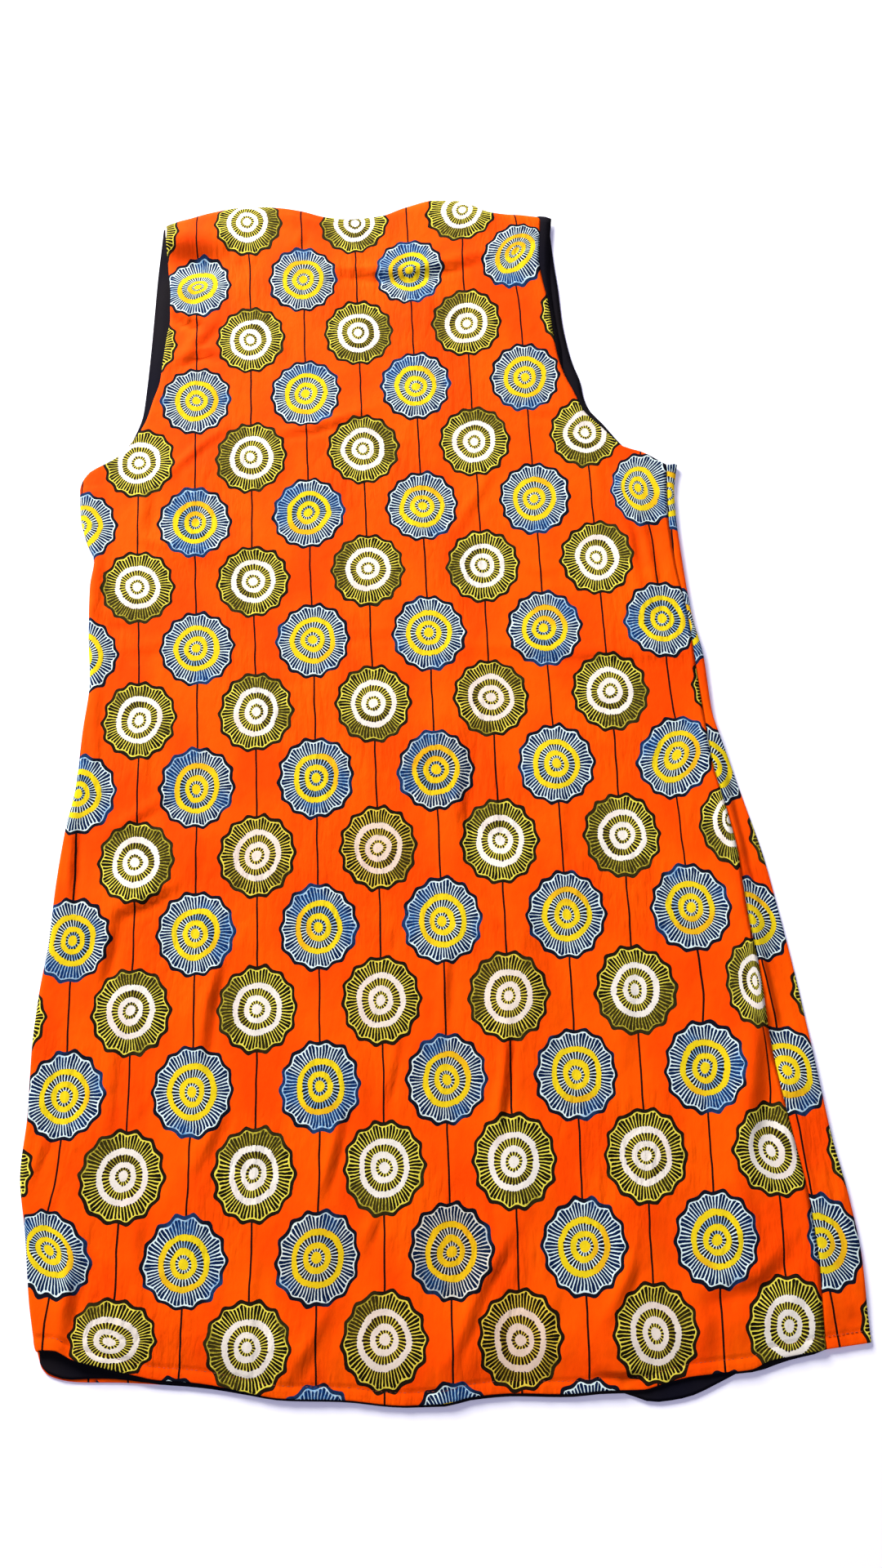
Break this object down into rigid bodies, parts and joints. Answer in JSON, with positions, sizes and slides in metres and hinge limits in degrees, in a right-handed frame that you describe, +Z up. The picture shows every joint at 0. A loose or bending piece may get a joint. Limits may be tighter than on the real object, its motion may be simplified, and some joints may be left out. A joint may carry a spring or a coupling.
{
  "type": "long sleeveless vest laid flat, back up",
  "caption": "Long sleeveless vest of printed cotton with a dark lining, laid flat with its back up: A-line body, shallow back neck, open front underneath.",
  "frame": {"origin": "on the surface that the vest lies on, under the centre of its outline", "axes": "+Y from the hem to the neck, +Z up out of the surface, +X to the right as one looks down on the back"},
  "size_m": [0.5758, 0.9648, 0.008],
  "materials": {
    "print_cotton": "plain-weave cotton with a smooth, slightly waxy face, orange ground with a printed repeat of scalloped discs",
    "dark_lining": "fine plain-weave lining, navy black, matt with a soft sheen"
  },
  "bodies": {
    "root": {"back": "print_cotton", "front_left": "print_cotton", "front_right": "print_cotton", "lining_back": "dark_lining", "lining_front_left": "dark_lining", "lining_front_right": "dark_lining"}
  },
  "joints": []
}
